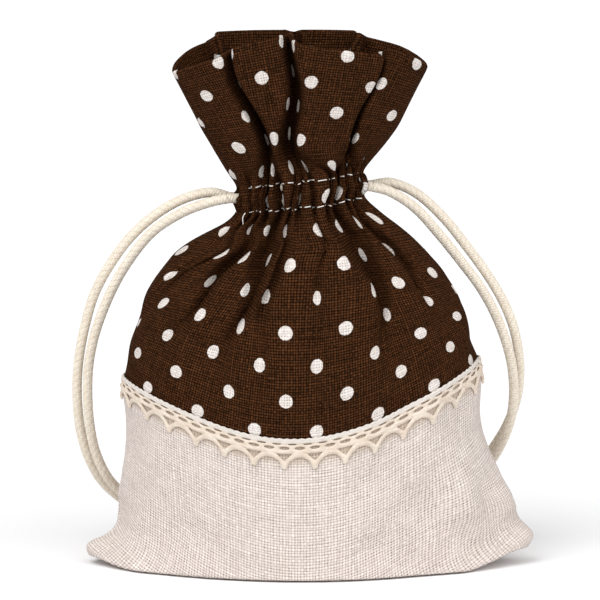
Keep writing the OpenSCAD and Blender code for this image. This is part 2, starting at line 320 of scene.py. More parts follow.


# How far the rim is below its full height, at places round the bag
RIM_DIP = np.array([
    (0, 7), (21, 2), (34, 6), (60, 4), (78, 0.5), (88, 0), (110, 4), (124, 4), (150, 9),
    (166, 3), (183, 0), (224, 1), (262, 0), (284, 2.5), (ROUND, 7)])

u = (np.arange(COLS) + 0.5) * ROUND / COLS
v = np.arange(0, DROP + CHANNEL + RUFFLE + STEP_V / 2, STEP_V)


def drawn_shape():
    """The sack with its neck drawn shut: rows x columns x 3, in mm. Up the cloth, the neck's
    pleats give way to the rim's, and down it, to the shoulder's folds. A row's height is its
    share of the way up the wall. The channel puffs out by 1 mm, the rim rises less where it
    leans out, and the join hangs lower in the middle of the front and back than at the sides."""
    angle = np.pi * u / (ROUND / 2)
    under = UNDER * np.abs(np.sin(angle))**1.5
    wall = np.maximum(v[:, None] - under, 0) / (DROP - under)
    level = np.interp(v, [0, DROP, DROP + CHANNEL, v[-1]], [0, NECK_Z, NECK_Z + CHANNEL, RIM_Z])
    puff = 1.0 * np.exp(-((v - DROP - CHANNEL / 2) / 2.4)**2)
    width, depth = half_width(level) + puff, half_depth(level) + puff
    neck = pleated(NECK_VALLEYS, NECK_DEPTHS, width, depth,
                   gap_share=0.26, deepest=0.65, straight=0.6)
    neck = soften(neck, np.full(len(v), 0.8))
    rim = pleated(RIM_VALLEYS, RIM_DEPTHS, width, depth,
                  gap_share=RIM_GAPS, deepest=0.85, straight=1.2)
    rim = soften(rim, np.full(len(v), 1.0))
    fold = pleated(SHOULDER_VALLEYS, SHOULDER_DEPTHS, width, depth,
                   gap_share=0.28, deepest=0.6, straight=1.0,
                   added=ADDED * np.exp(-((level - 100) / 15)**2))
    fold = soften(fold, np.interp(level, [40, 70, 90, 110], [8, 3.5, 1.4, 1.0]))
    to_rim = smoothstep(level, 123, 138)[:, None, None]
    to_fold = 1 - smoothstep(level, 104, 117)[:, None, None]
    flat = neck * (1 - to_rim - to_fold) + rim * to_rim + fold * to_fold
    z = np.where(v[:, None] <= DROP, NECK_Z * wall, NECK_Z + np.minimum(v[:, None] - DROP, CHANNEL))
    ring = np.tile((u / ROUND)[None], (2, 1))
    ends = around(ring, half_width([NECK_Z, RIM_Z]), half_depth([NECK_Z, RIM_Z]))
    flare = np.linalg.norm(ends[1] - ends[0], axis=-1)
    up = np.clip(v - DROP - CHANNEL, 0, None)[:, None] / RUFFLE
    dip = np.convolve(np.interp(np.arange(-20, COLS + 20) * ROUND / COLS % ROUND, *RIM_DIP.T),
                      np.ones(9) / 9, mode="same")[20:-20]
    z = z + (np.sqrt(RUFFLE**2 - flare**2) - dip) * up
    reach = np.where(v[:, None] < UNDER + 8, np.clip(v[:, None] / np.maximum(under, 0.5), 0, 1), 1)
    x, y = flat[..., 0], flat[..., 1] * reach
    swag = np.exp(-((z - 55) / 28)**2) * (2.8 - 5.2 * np.sin(angle)**2)
    return np.stack([x, y, z + swag + lean(x, z)], axis=-1)


shape = drawn_shape()
print("drawn shape, mm:", shape.min((0, 1)).round(1), shape.max((0, 1)).round(1))

# %% [markdown]
# ## Creases and corners
# The filling is narrower than the cloth at the bottom, so each corner is empty and stands out
# as a flat ear, with soft creases running up from it. A maker would push these in by hand. This
# cell presses them in one by one: each crease is a line on the sack's front, with a depth that
# fades away from it. Small waves over the whole cloth come from a seeded random sum of sines.

# %% Creases and corners
CREASES = [            # from x, z to x, z on the front, then depth and half width, all in mm
    ((-64, 4), (-46, 36), 1.8, 4.0), ((-52, 3), (-31, 20), 1.1, 4.5),
    ((-57, 30), (-49, 50), 1.3, 3.5), ((68, 5), (55, 38), 2.4, 4.0),
    ((60, 3), (33, 29), 1.7, 5.0), ((41, 2), (18, 13), 0.9, 4.5), ((56, 40), (46, 56), 1.0, 4.0),
    ((-14, 2), (-33, 12), 0.7, 5.0), ((-26, 74), (-34, 58), 0.8, 5.0),
    ((23, 78), (31, 60), 1.0, 5.0)]


def normals_of(grid):
    """Outward normals of the whole sack's grid, whose rows are closed rings: the cross product
    of the steps up it and round it."""
    along = np.roll(grid, -1, axis=1) - np.roll(grid, 1, axis=1)
    up = np.gradient(grid, axis=0)
    out = np.cross(up, along)
    return out / np.maximum(np.linalg.norm(out, axis=-1, keepdims=True), 1e-9)


def creased(grid):
    """The grid with its creases pressed in along the normals, on the front and, at the same
    places and shallower, on the back. Across a crease its depth is a bell curve, and along it
    the root of a sine."""
    normals = normals_of(grid)
    x, z = grid[..., 0], grid[..., 2]
    press = np.zeros(x.shape)
    for (x0, z0), (x1, z1), depth, width in CREASES:
        dx, dz = x1 - x0, z1 - z0
        t = np.clip(((x - x0) * dx + (z - z0) * dz) / (dx**2 + dz**2), -0.1, 1.1)
        away = np.hypot(x - x0 - t * dx, z - z0 - t * dz)
        press += depth * np.exp(-(away / width)**2) * np.sin(np.clip(t, 0.02, 0.98) * np.pi)**0.5
    side = np.where(grid[..., 1] < 0, 1.0, 0.6)
    return grid - normals * (press * side)[..., None]


def waved(grid, seed, count=40):
    """The grid with soft waves, 15 to 60 mm long. Each is a whole number of waves round."""
    rng = np.random.default_rng(seed)
    wave = np.zeros(grid.shape[:2])
    for turns, rise, phase in zip(rng.integers(4, 17, count), rng.uniform(0.008, 0.045, count),
                                  rng.uniform(0, 6.28, count)):
        wave += np.sin(2 * np.pi * (turns * u[None] / ROUND + rise * v[:, None]) + phase)
    fade = 1 - 0.75 * smoothstep(v, 120, 150)
    lift = 0.055 * wave * fade[:, None] * smoothstep(grid[..., 2], 0, 12)
    return grid + normals_of(grid) * lift[..., None]


# Height, how far the left edge stands out there, and how far the right one does, in mm
STANDS_OUT = np.array([
    (0, 0, 2), (8, 0.5, 5.5), (14, 2, 11), (20, 3, 13), (30, 3, 11), (34, 2.6, 8.5), (38, 2, 6),
    (46, 1, 3.4), (60, 0.4, 2), (74, 0, 0)])


def cornered(grid):
    """The grid with its bottom corners drawn out: a raised fold and ear at the right, a short
    curl at the left."""
    x, y, z = np.moveaxis(grid.copy(), -1, 0)
    out_left, out_right = rounded(STANDS_OUT, 1, 9)(z), rounded(STANDS_OUT, 2, 9)(z)
    x = x + smoothstep(x, 30, 60) * out_right - smoothstep(-x, 36, 58) * out_left
    right = smoothstep(x, 50, 74) * (1 - smoothstep(z, 4, 30))
    left = smoothstep(-x, 50, 70) * (1 - smoothstep(z, 2, 16))
    z = z + 5.5 * right + 2.5 * left
    x = x + 3.0 * right
    y = y * (1 - 0.35 * right - 0.3 * left)
    return np.stack([x, y, z], -1)


CLOTH_T = 0.7
shape = waved(creased(cornered(shape)), seed=7)
shape[..., 2] = np.maximum(shape[..., 2], CLOTH_T / 2 + 0.3)
normals = normals_of(shape)
print("shaped cloth, mm:", shape.min((0, 1)).round(1), shape.max((0, 1)).round(1))


def on_cloth(at_u, at_v, out):
    """Points on the sack at cloth coordinates, a distance out from it: the grid read between
    its points."""
    c = (np.asarray(at_u, float) / ROUND * COLS - 0.5) % COLS
    r = np.clip(np.asarray(at_v, float) / STEP_V, 0, len(v) - 1.001)
    c0, r0 = np.floor(c).astype(int), np.floor(r).astype(int)
    fc, fr = (c - c0)[..., None], (r - r0)[..., None]
    c0, c1 = c0 % COLS, (c0 + 1) % COLS

    def read(grid):
        low = grid[r0, c0] * (1 - fc) + grid[r0, c1] * fc
        high = grid[r0 + 1, c0] * (1 - fc) + grid[r0 + 1, c1] * fc
        return low * (1 - fr) + high * fr

    return read(shape) + read(normals) * np.asarray(out, float)[..., None]


# %% [markdown]
# ## The four panels
# A front and a back of each cloth meet at the side seams, where both turn in a little. At the
# channel they part, and leave a slit for the cords. The plain cloth is sewn to the dotted one
# at the join. The dotted cloth goes up to the rim, rolls over and comes down inside as the
# hem, in one piece, so its print runs over the edge. Each panel is a grid laid on the sack's
# surface, and Solidify gives it its thickness.

# %% Panels
HEM_IN = 1.4           # between the cloth and its hem
SEAM_IN = 0.7          # how far the cloth turns in at a seam
SLIT = 4.8             # how far each panel's edge parts from the seam where the cords come out
LIP = 0.4              # how far those edges stand out
SIDES = {"front": (0.0, ROUND / 2), "back": (ROUND / 2, ROUND)}


def panel_grid(side, at_v, out):
    """The points of a panel over one side of the sack, and their places across the cloth. It
    has a row at each cloth height in at_v, and out is each row's distance from the sack's
    surface. Its side edges turn in along the seam, as a bell curve across the cloth."""
    low, high = SIDES[side]
    inner = np.arange(low, high, ROUND / COLS) + ROUND / COLS / 2
    at_u = np.concatenate([[low + 0.02], inner, [high - 0.02]])
    to_seam = np.minimum(at_u - low, high - at_u)
    turn = SEAM_IN * np.exp(-(to_seam / 1.1)**2)[None] * smoothstep(at_v, 14, 40)[:, None]
    grid_u, grid_v = np.meshgrid(at_u, at_v)
    points = on_cloth(grid_u, grid_v, out[:, None] - turn)
    channel = np.exp(-((at_v - DROP - CHANNEL / 2) / 3.4)**4)[:, None]
    parted = np.exp(-(to_seam / 2.6)**2)[None] * channel
    points[..., 1] += (-1 if side == "front" else 1) * SLIT * parted
    points[..., 0] += np.sign(points[..., 0]) * LIP * parted
    return points, grid_u


def cloth_piece(name, points, across, up, thickness=CLOTH_T):
    """A piece of cloth from a grid of points, with its places across and up the cloth as its
    UV map. Solidify thickens it inwards."""
    faces = grid_faces(*across.shape)
    uv = np.stack([across.ravel()[faces], up.ravel()[faces]], -1)
    piece = mesh_from(name, points.reshape(-1, 3), faces.tolist(), uv)
    made = piece.modifiers.new("thickness", "SOLIDIFY")
    made.thickness = thickness * MM
    made.offset = -1
    made.use_rim = True
    return piece


def lower_panel(side):
    """The plain cloth: from the bottom seam, where front and back meet, up to the join."""
    at_v = v[v <= JOIN_V]
    points, grid_u = panel_grid(side, at_v, np.zeros(len(at_v)))
    points[0, :, 1] = CLOTH_T / 2 if side == "back" else -CLOTH_T / 2
    up = np.broadcast_to(at_v[:, None], grid_u.shape)
    return cloth_piece(f"{side}_lower_cloth", points, grid_u, up)


def upper_panel(side):
    """The dotted cloth: from the join up to the rim, half a turn over it, and down inside."""
    up = v[v >= JOIN_V]
    roll = np.radians([40, 90, 140])
    down = np.arange(v[-1] - 0.6, DROP - 2, -1.5)
    at_v = np.concatenate([up, np.full(3, v[-1]), down])
    out = np.concatenate([np.zeros(len(up)), HEM_IN / 2 * (np.cos(roll) - 1),
                          np.full(len(down), -HEM_IN)])
    lift = np.concatenate([np.zeros(len(up)), HEM_IN / 2 * np.sin(roll), np.zeros(len(down))])
    points, grid_u = panel_grid(side, at_v, out)
    points[..., 2] += lift[:, None]
    cloth_v = np.concatenate([up, v[-1] + np.array([0.4, 1.1, 1.8]), 2 * v[-1] + 2.2 - down])
    cloth_up = np.broadcast_to(cloth_v[:, None], grid_u.shape)
    return cloth_piece(f"{side}_upper_cloth", points, grid_u, cloth_up)


lower = {side: lower_panel(side) for side in SIDES}
upper = {side: upper_panel(side) for side in SIDES}
for side in SIDES:
    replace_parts(lower[side], f"{side}_lower_panel")
    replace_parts(upper[side], f"{side}_upper_panel", f"{side}_hem_facing")
print("panel vertices:", {p.name: len(p.data.vertices) for p in [*lower.values(), *upper.values()]})

# %% [markdown]
# ## Tubes
# Cords, threads and knots are tubes: a ring of points carried along a path. The ring's frame
# is passed on from each point to the next without twisting, and the tube's ends are closed.
# A bevelled curve would also make a tube. Here the winding ridges and the map for the fibres
# come from one formula, so they keep together.

# %% Tubes
TURN_MM = 7.0          # along a cord, for one turn of its three ridges


def frames(path):
    """Tangents of a path and two unit vectors across it at each point, carried along so that
    they turn no more than the path does."""
    tangent = np.gradient(path, axis=0)
    tangent /= np.linalg.norm(tangent, axis=1, keepdims=True)
    start = np.cross(tangent[0], (0.0, 0.3, 1.0))
    side = [start / np.linalg.norm(start)]
    for t in tangent[1:]:
        s = side[-1] - t * (side[-1] @ t)
        side.append(s / np.linalg.norm(s))
    side = np.array(side)
    return tangent, side, np.cross(tangent, side)


def tube(path, radius, sides=12, ridges=0.0, dome=False):
    """Points, faces, UV and end faces of a closed tube: at each point of the path, a circle
    across it. ridges lifts three strands that wind round it, and dome rounds its far end like
    a ball."""
    tangent, side, other = frames(path)
    along = distances(path)
    radius = np.full(len(path), float(radius))
    if dome:
        share = np.clip((along[-1] - along) / radius, 0.03, 1)
        radius = radius * np.sqrt(share * (2 - share))
    angle = np.arange(sides) * 2 * np.pi / sides
    wind = 3 * angle[None] - 2 * np.pi * 3 * along[:, None] / TURN_MM
    r = radius[:, None] * (1 + ridges * (np.abs(np.cos(wind / 2)) - 0.64))
    ring = r[..., None] * (np.cos(angle)[None, :, None] * side[:, None]
                           + np.sin(angle)[None, :, None] * other[:, None])
    points = (path[:, None] + ring).reshape(-1, 3)
    n = len(path)
    faces = grid_faces(n, sides, True)[:, ::-1]
    round_u = (faces % sides).astype(float)
    round_u += np.where(round_u.max(1, keepdims=True) - round_u > sides / 2, sides, 0)
    uv = np.stack([along[faces // sides], round_u / sides], -1)
    caps = [np.arange(sides), np.arange(sides)[::-1] + (n - 1) * sides]
    return points, faces, uv, caps


def signed_volume(points, faces):
    """The volume inside four-sided faces: above 0 when they face outwards. It adds up the
    pyramids from the origin to each face."""
    a, b, c, d = (points[faces[:, k]] for k in range(4))
    return float((a * np.cross(b, c)).sum() + (a * np.cross(c, d)).sum()) / 6


def tubes_piece(name, tubes):
    """One object of several tubes, each with its faces outwards."""
    points, faces, uvs, start = [], [], [], 0
    for p, f, uv, caps in tubes:
        if signed_volume(p, f) < 0:
            f, uv, caps = f[:, ::-1], uv[:, ::-1], [cap[::-1] for cap in caps]
        points.append(p)
        faces += (f + start).tolist() + [(cap + start).tolist() for cap in caps[::-1]]
        uvs += [*uv.reshape(-1, 2).tolist(), *[[0, 0]] * sum(len(cap) for cap in caps)]
        start += len(p)
    return mesh_from(name, np.concatenate(points), faces, uvs)


# %% [markdown]
# The free strands follow their routes. Their ends inside the neck are pieces of their own,
# because they slide out as the cord is pulled, and the run round the channel stays in it.

# %% Cords
EXIT_X = 22.6
LANES = {"left": 118.1, "right": 121.9}
SIGN = {"left": -1, "right": 1}
STRAND_Y = {"front": -2.5, "back": 2.5}
STUB_LINE = ((11.5, 1.3), (15, 1.05), (19, 1), (EXIT_X + 0.9, 1))    # x, then a share of y
RING_X, RING_Y = 12.4, 8.0
RIDGES = 0.035

strands = {}
for name, path in paths.items():
    side = name.split("_")[0]
    strands[name] = tubes_piece(f"{name}_cord", [tube(path, CORD_R, 16, RIDGES)])
    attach(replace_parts(strands[name], name), f"{side}_cord_loop")

cord_ends = {}
cord_rings = {}
for side, lane in LANES.items():
    inner = []
    for y in STRAND_Y.values():
        stub = [(SIGN[side] * x, y * share, lane) for x, share in STUB_LINE]
        inner.append(tube(smooth_path(stub), CORD_R * 0.985, 16, RIDGES))
    cord_ends[side] = tubes_piece(f"{side}_cord_stubs", inner)
    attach(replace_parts(cord_ends[side], f"{side}_cord_ends"), f"{side}_cord_inner")
    turn = np.radians(np.linspace(22, 338, 120))
    ring = np.stack([SIGN[side] * RING_X * np.cos(turn), RING_Y * np.sin(turn),
                     np.full(len(turn), lane)], -1)
    cord_rings[side] = tubes_piece(f"{side}_cord_ring", [tube(ring, CORD_R, 12, RIDGES)])
    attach(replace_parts(cord_rings[side], f"{side}_cord_in_channel"), "sack")
print("cord faces:", {piece.name: len(piece.data.polygons) for piece in strands.values()})

# %% [markdown]
# Each knot is an overhand knot tied in both strands at once. Its line is a trefoil, the curve
# of an overhand knot, and one trefoil stands for both strands. Its two tails lie on the table
# with their fibres fraying out.

# %% Knots
KNOT_AT = {"left": (-37.0, 45.5, 5.1), "right": (38.0, 45.5, 5.1)}
KNOT_SEED = {"left": 11, "right": 12}
TAIL = 11.0
FRAY = 16              # fibres at the end of a tail
FIBRE_R = 0.26


def trefoil(size, flat):
    """The overhand knot's line: a point goes three times round while it goes twice through."""
    t = np.linspace(0, 2 * np.pi, 150)
    return np.stack([size * (np.sin(t) + 2 * np.sin(2 * t)) / 3,
                     size * (np.cos(t) - 2 * np.cos(2 * t)) / 3, -flat * np.sin(3 * t)], -1)


knots = {}
for side, at in KNOT_AT.items():
    rng = np.random.default_rng(KNOT_SEED[side])
    centre = np.array(at)
    body = resample(trefoil(3.3, 1.1)[:, [2, 0, 1]], 0.5)
    pieces = [tube(centre + body, CORD_R, 14, RIDGES)]
    for bend in (-1, 1):
        tail = centre + np.array([
            (-SIGN[side] * 1.5, bend * 0.8, -0.6), (-SIGN[side] * 4.5, bend * 2.0, -2.3),
            (-SIGN[side] * 8.0, bend * 3.6, -3.1), (-SIGN[side] * (3.5 + TAIL), bend * 5.2, -3.2)])
        pieces.append(tube(smooth_path(tail, 0.6), CORD_R, 14, RIDGES, dome=True))
        tip, way = tail[-1], (tail[-1] - tail[-2]) / np.linalg.norm(tail[-1] - tail[-2])
        for _ in range(FRAY):
            spread = rng.normal(0, 0.55, 3)
            first = tip - way * 1.2 + spread * 0.9
            last = tip + way * rng.uniform(1.0, 2.6) + spread * 2.2
            first[2], last[2] = max(first[2], 1.2), max(last[2], 0.9)
            middle = (first + last) / 2 + rng.normal(0, 0.2, 3) * (1, 1, 0)
            pieces.append(tube(smooth_path([first, middle, last], 0.5), FIBRE_R, 6))
    knots[side] = tubes_piece(f"{side}_cord_knot", pieces)
    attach(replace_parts(knots[side], f"{side}_knot"), f"{side}_cord_loop")

for name, path in paths.items():
    side = name.split("_")[0]
print("knots:", {piece.name: len(piece.data.polygons) for piece in knots.values()})

# %% [markdown]
# ## The lace
# The lace is a cotton band, 11 mm deep, sewn over the join. Its pattern is worked out as a field
# over the flat band: positive in the cotton, negative in the holes, and close to the distance
# to the nearest edge. Faces are kept where it is positive, the points along an edge are moved
# onto it, and the cotton rises from its edges like a cord. The flat band is then laid on the
# sack. An image with see-through holes would be lighter, but would have no real edges.

# %% Lace
LACE_H = 11.0
LACE_L = 146.0         # one side's band, which stops a little short of each seam
TILE = LACE_L / 15     # from one point of the lace to the next
LACE_CELL = 0.2


def hole(du, dw, wide, high):
    """About the distance outside an oval hole, in mm: negative in it."""
    ratio = np.hypot(du / wide, dw / high)
    gradient = np.hypot(du / wide**2, dw / high**2) / np.maximum(ratio, 1e-6)
    return (ratio - 1) / np.maximum(gradient, 1e-3)


def lace_field(s, w):
    """The lace's field at s along the band and w down from its top, in mm: the least of the
    distances to its top edge, its points, the arches below, the windows and two rows of
    slits."""
    point = (s + TILE / 2) % TILE - TILE / 2                # from the nearest point of the lace
    arch = (s + TILE) % TILE - TILE / 2                     # from the nearest arch
    half = (s + TILE / 4) % (TILE / 2) - TILE / 4
    other = s % (TILE / 2) - TILE / 4
    top = w - 0.12 * np.cos(2 * np.pi * s / 2.3) - 0.15
    tip = 10.95 - w - 0.6 * np.minimum(np.abs(point), 1.6)**2
    arches = hole(arch, w - 11.7, 4.2, 5.1)
    window = np.maximum(5.35 - w, 0.72 * (np.abs(point) - 2.45 + 0.95 * (w - 5.35)))
    upper_slits = hole(other, w - 2.05, 1.4, 0.24)
    lower_slits = hole(half, w - 3.4, 1.6, 0.5)
    return np.minimum.reduce([top, tip, arches, window, upper_slits, lower_slits])


def lace_height(s, w, field):
    """How far the cotton stands up: round at its edges, with cords along the band, and threads
    that slant down into the points."""
    edge = np.sqrt(np.clip(field / 0.7, 0, 1))
    band = 0.5 + 0.5 * np.cos(2 * np.pi * (w - 0.55) / 1.05)
    slant = np.abs(np.sin(np.pi * (s - 0.7 * np.abs((s + TILE / 2) % TILE - TILE / 2) + w) / 1.2))
    relief = np.where(w < 2.9, band, slant)
    return 0.12 + 0.42 * edge + 0.16 * relief * edge


def lace_band(side):
    """One side's band. A square of the flat grid is kept where the field is positive in its
    middle. A point with some of its four squares gone is on an edge, and moves down the
    field's slope by the field over the slope. The front, its copy as the back, and walls along
    each side that has no neighbour make it solid."""
    first_u = SIDES[side][0] + (ROUND / 2 - LACE_L) / 2
    s, w = np.meshgrid(np.arange(0, LACE_L + LACE_CELL / 2, LACE_CELL),
                       np.arange(-0.2, LACE_H + 0.2, LACE_CELL))
    rows, cols = s.shape
    field = lace_field(s, w)
    middle = (field[1:, 1:] + field[:-1, :-1] + field[1:, :-1] + field[:-1, 1:]) / 4 > 0
    quads = grid_faces(rows, cols)[middle.ravel()]
    kept_count = np.bincount(quads.ravel(), minlength=rows * cols)
    edge = (kept_count > 0) & (kept_count < 4)
    slope_w, slope_s = np.gradient(field, LACE_CELL)
    steep = np.maximum(slope_s**2 + slope_w**2, 0.05)
    limit = 0.6 * LACE_CELL
    shift = edge.reshape(rows, cols) & (s > 0) & (s < LACE_L)
    s = s + np.where(shift, np.clip(-field * slope_s / steep, -limit, limit), 0)
    w = w + np.where(shift, np.clip(-field * slope_w / steep, -limit, limit), 0)
    high = lace_height(s, w, np.where(shift, 0, np.maximum(field, 0)))
    at_v = JOIN_V + 0.8 - w
    front = on_cloth(first_u + s, at_v, 0.30 + high).reshape(-1, 3)
    back = on_cloth(first_u + s, at_v, np.full(s.shape, 0.22)).reshape(-1, 3)
    used = np.unique(quads)
    place = np.zeros(rows * cols, int)
    place[used] = np.arange(len(used))
    quads = place[quads]
    count = len(used)
    pairs = np.stack([quads, np.roll(quads, -1, axis=1)], -1).reshape(-1, 2)
    key = pairs[:, 0] * count + pairs[:, 1]
    alone = ~np.isin(key, pairs[:, 1] * count + pairs[:, 0])
    a, b = pairs[alone].T
    walls = np.stack([b, a, a + count, b + count], -1)
    faces = np.concatenate([quads, quads[:, ::-1] + count, walls])
    points = np.concatenate([front[used], back[used]])
    flat = np.stack([np.tile(s.ravel()[used], 2), np.tile(w.ravel()[used], 2)], -1)
    return mesh_from(f"{side}_lace_band", points, faces.tolist(), flat[faces])


laces = {side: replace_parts(lace_band(side), f"{side}_lace") for side in SIDES}
print("lace faces:", {p.name: len(p.data.polygons) for p in laces.values()})

# %% [markdown]
# ## Stitching
# A row of stitches is a row of short threads that come up out of the cloth and go down again.
# Each follows the cloth's own coordinates, so the rows ride over the pleats.

# %% Stitches
THREAD_R = 0.17
FINE_THREAD_R = 0.12   # the lace's own thread
STITCH = 3.5
STITCH_GAP = 1.5
LOOSE_END = [(-0.8, -0.4, -1.5), (-0.7, -0.6, -3.5), (-1.2, -0.5, -5.5)]


def stitches(at_v, from_u, to_u, thread_r, out, wander, seed):
    """Tubes of a row of stitches at cloth height at_v. A stitch rises and dips as the root of
    a sine, so its ends go into the cloth."""
    rng = np.random.default_rng(seed)
    share = np.linspace(0, 1, 7)
    row = []
    for start in np.arange(from_u, to_u - STITCH, STITCH + STITCH_GAP):
        length = STITCH * rng.uniform(0.8, 1.1)
        slope, stray = rng.uniform(-wander, wander, 2)
        lift = out + thread_r * (np.sqrt(np.sin(np.pi * share)) * 1.6 - 1.2)
        path = on_cloth(start + length * share, at_v + stray + slope * (share - 0.5), lift)
        row.append(tube(path, thread_r, 6))
    return row


def loose_end(at_u, at_v, steps):
    """A thread's end that hangs from the last stitch, through points a step from its start."""
    start = on_cloth(at_u, at_v, 0.3)
    return tube(smooth_path(start + np.vstack([(0, 0, 0), *steps]), 0.5), THREAD_R, 6)


channel_stitches, lace_stitches = {}, {}
for side, (low, high) in SIDES.items():
    rows = stitches(DROP, low + 5, high - 5, THREAD_R, 0.02, 0.5, seed=5)
    rows += stitches(DROP + CHANNEL, low + 5, high - 5, THREAD_R, 0.02, 0.5, seed=6)
    if side == "front":
        rows.append(loose_end(high - 5, DROP, LOOSE_END))
    channel_stitches[side] = tubes_piece(f"{side}_channel_stitches", rows)
    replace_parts(channel_stitches[side], f"{side}_channel_stitching")
    rows = stitches(JOIN_V - 0.6, low + 3, high - 3, FINE_THREAD_R, 0.75, 0.05, seed=8)
    lace_stitches[side] = tubes_piece(f"{side}_lace_stitches", rows)
    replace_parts(lace_stitches[side], f"{side}_lace_stitching")
    print(side, "lace stitches:", len(rows))

# %% [markdown]
# ## Seam allowances
# Inside, the cut edges of the panels stand in from the side seams and the join. They are
# strips of cloth that follow the seams. Little of them shows, so each is a plain flat strip.

# %% Seam allowances
ALLOWANCE = 6.5
TWO_LAYERS = 0.9       # an allowance's thickness, pressed


def strip(name, line, inward, rows=5):
    """A strip of cloth from a seam's line, going inwards: line is n x 3 and inward is a vector
    or n of them."""
    share = np.linspace(0.12, 1, rows)
    points = line[None] + share[:, None, None] * np.broadcast_to(inward, line.shape)[None]
    grid_u, grid_v = np.meshgrid(distances(line), share * ALLOWANCE)
    return cloth_piece(name, points, grid_u, grid_v, TWO_LAYERS)


seams = {}
for side, at_u, sign in (("right", 0.0, -1), ("left", ROUND / 2, 1)):
    line_v = np.arange(24, DROP - 4, 3.0)
    line = on_cloth(np.full(len(line_v), at_u), line_v, np.full(len(line_v), -1.0))
    seams[side] = strip(f"{side}_seam_allowance", line, np.array([sign * ALLOWANCE, 0, 0]))
    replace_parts(seams[side], f"{side}_side_seam")
for side, (low, high) in SIDES.items():
    line_u = np.arange(low + 4, high - 4, 3.0)
    line = on_cloth(line_u, np.full(len(line_u), JOIN_V - 3.5), np.full(len(line_u), -1.1))
    above = on_cloth(line_u, np.full(len(line_u), JOIN_V + 3.5), np.full(len(line_u), -1.1))
    seams[side] = strip(f"{side}_join_allowance", line, above - line)
    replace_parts(seams[side], f"{side}_join_seam")
line = np.stack([np.linspace(-52, 52, 60), np.full(60, 0.0), np.full(60, 1.6)], -1)
seams["bottom"] = strip("bottom_seam_allowance", line, np.array([0, 0, ALLOWANCE]))
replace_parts(seams["bottom"], "bottom_seam")
print("allowances:", [piece.name for piece in seams.values()])

# %% [markdown]
# ## Materials
# A finish is written as arithmetic on fields. A field wraps a socket, and each operator adds
# the Math node that it stands for, so a weave reads like its formula. The cloth map is in
# millimetres, so each pattern has its real size.

# %% Fields and finishes


class Field:
    """A number that varies over a surface, as a node's output socket."""

    def __init__(self, finish, socket):
        self.finish, self.socket = finish, socket

    def math(self, operation, *others):
        inputs = dict(enumerate([self.socket, *(getattr(o, "socket", o) for o in others)]))
        made = self.finish.node("Math", {"operation": operation}, inputs)
        return Field(self.finish, made.outputs[0])

    def reflected(self, operation, other):
        made = self.finish.node("Math", {"operation": operation}, {0: other, 1: self.socket})
        return Field(self.finish, made.outputs[0])

    def __add__(self, other):
        return self.math("ADD", other)

    def __sub__(self, other):
        return self.math("SUBTRACT", other)

    def __mul__(self, other):
        return self.math("MULTIPLY", other)

    def __truediv__(self, other):
        return self.math("DIVIDE", other)

    def __rsub__(self, other):
        return self.reflected("SUBTRACT", other)

    __radd__, __rmul__ = __add__, __mul__

    def sin(self):
        return self.math("SINE")

    def abs(self):
        return self.math("ABSOLUTE")

    def floor(self):
        return self.math("FLOOR")

    def root(self):
        return self.math("SQRT")

    def wrap(self, high, low):
        return self.math("WRAP", high, low)

    def least(self, other):
        return self.math("MINIMUM", other)

    def most(self, other):
        return self.math("MAXIMUM", other)

    def step(self, low, high):
        """0 below low, 1 above high, and smooth between them."""
        made = self.finish.node("MapRange", {"interpolation_type": "SMOOTHSTEP"},
                                {"Value": self.socket, "From Min": low, "From Max": high})
        return Field(self.finish, made.outputs["Result"])


class Finish:
    """A material and the nodes that are added to it. What doesn't vary is set on the shader."""

    def __init__(self, name, roughness, specular):
        self.material = bpy.data.materials.new(name)
        self.material.use_nodes = True
        self.tree = self.material.node_tree
        self.shader = self.tree.nodes["Principled BSDF"]
        self.shader.inputs["Roughness"].default_value = roughness
        self.shader.inputs["Specular IOR Level"].default_value = specular

    def node(self, kind, settings=None, inputs=None):
        """A node of one kind, with its settings made first and then its sockets."""
        made = self.tree.nodes.new("ShaderNode" + kind)
        for key, value in (settings or {}).items():
            setattr(made, key, value)
        for key, value in (inputs or {}).items():
            if isinstance(value, bpy.types.NodeSocket):
                self.tree.links.new(value, made.inputs[key])
            else:
                made.inputs[key].default_value = value
        return made

    def cloth_map(self):
        """The piece's own coordinates in mm, along and across."""
        uv = self.node("UVMap", {"uv_map": "cloth"}).outputs["UV"]
        split = self.node("SeparateXYZ", None, {0: uv})
        return Field(self, split.outputs[0]), Field(self, split.outputs[1])

    def join(self, x, y, z=0.0):
        parts = {i: getattr(p, "socket", p) for i, p in enumerate((x, y, z))}
        return self.node("CombineXYZ", None, parts).outputs[0]

    def noise(self, vector, scale, detail=2.0, rough=0.5):
        """Soft random patches, 0 to 1. detail adds finer ones, and rough how strong they are."""
        made = self.node("TexNoise", {"noise_dimensions": "3D"},
                         {"Vector": vector, "Scale": scale, "Detail": detail, "Roughness": rough})
        return Field(self, made.outputs["Fac"])

    def mix(self, share, first, second):
        """The colour first where share is 0 and second where it is 1."""
        made = self.node("Mix", {"data_type": "RGBA", "clamp_factor": True},
                         {0: share.socket, 6: first, 7: second})
        return made.outputs[2]

    def done(self, colour, height, distance, strength):
        """The material, with its colour and with its height as bumps up to distance metres."""
        self.tree.links.new(colour, self.shader.inputs["Base Color"])
        bump = self.node("Bump", None, {"Height": height.socket, "Distance": distance,
                                        "Strength": strength})
        self.tree.links.new(bump.outputs[0], self.shader.inputs["Normal"])
        return self.material


def srgb(red, green, blue, alpha=1.0):
    """A colour given as 0 to 255 in sRGB, in the linear form that nodes use."""
    def linear(c):
        c /= 255
        return c / 12.92 if c <= 0.04045 else ((c + 0.055) / 1.055)**2.4
    return (linear(red), linear(green), linear(blue), alpha)


print("mid grey in linear light:", round(srgb(128, 128, 128)[0], 3))
